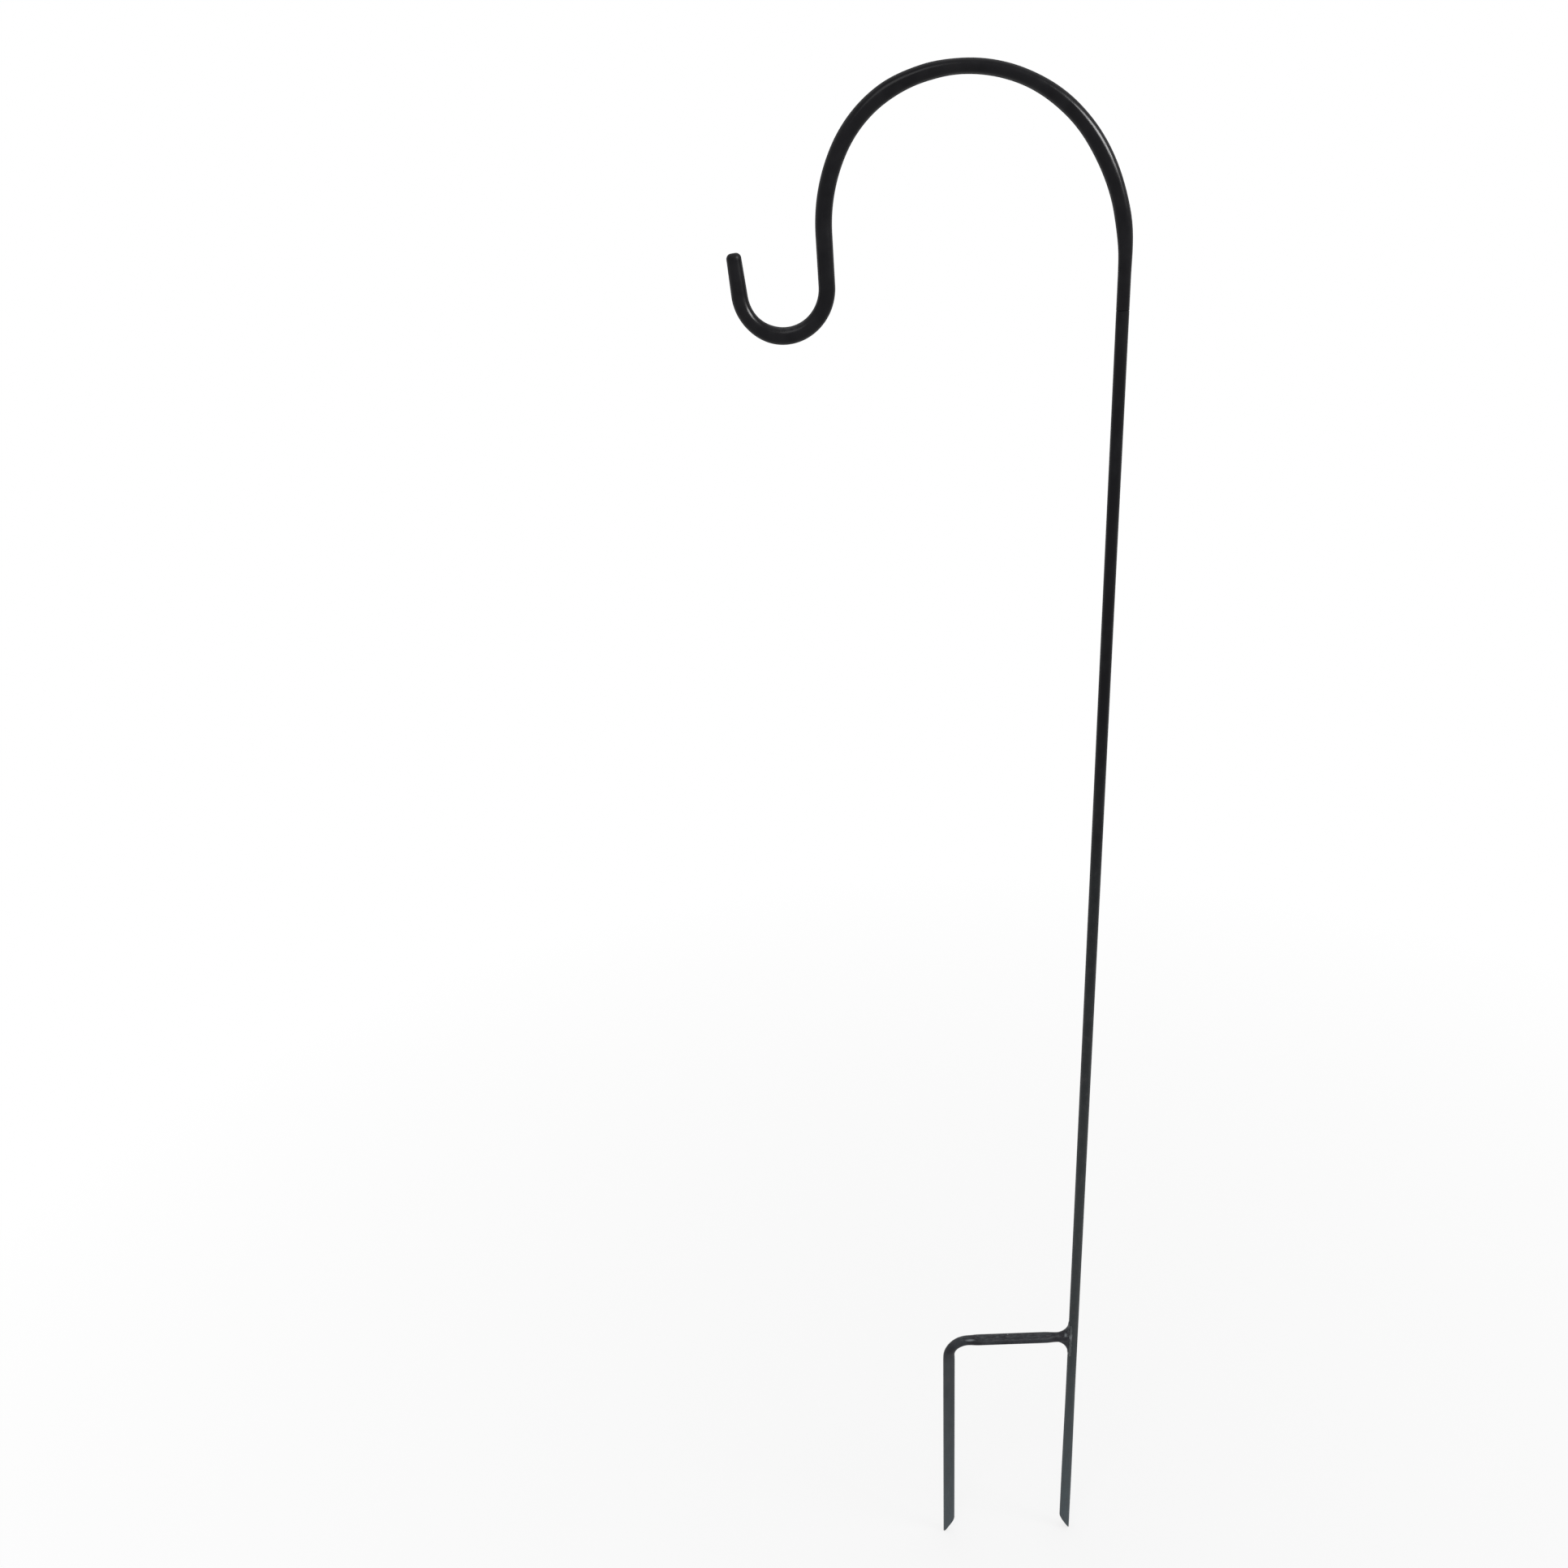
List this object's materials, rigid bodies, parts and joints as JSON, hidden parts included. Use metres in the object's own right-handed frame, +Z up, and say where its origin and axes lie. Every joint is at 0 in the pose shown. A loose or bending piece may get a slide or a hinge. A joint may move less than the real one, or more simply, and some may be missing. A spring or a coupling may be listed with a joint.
{
  "type": "shepherds hook",
  "caption": "Tall garden shepherd's hook: a steel rod pole on a forked step-in foot, with a swivelling tube crook whose small upturned hook carries a hanging basket, lantern or bird feeder.",
  "frame": {"origin": "pole's axis at the soil line, level with the underside of the step bar's tread", "axes": "+Z up along the pole, -X towards the hook and the second prong, Y across the hook's plane"},
  "size_m": [0.394, 0.0162, 1.9317],
  "materials": {
    "crook_paint": "satin black powder coat",
    "plug_paint": "satin black powder coat on a pressed steel plug",
    "pole_paint": "satin black coat that turns to matte slate grey towards the foot",
    "foot_paint": "matte slate grey, rubbed along its edges",
    "weld_paint": "matte slate grey over a rippled weld"
  },
  "bodies": {
    "pole": {"pole": "pole_paint", "step_bar": "foot_paint", "weld_bead_front": "weld_paint", "weld_bead_back": "weld_paint"},
    "crook": {"crook_tube": "crook_paint", "tip_plug": "plug_paint"}
  },
  "joints": [
    {"name": "crook_swivel", "type": "hinge", "parent": "pole", "child": "crook", "pos_m": [0, 0, 1.336], "axis": [0, 0, 1], "continuous": true}
  ]
}
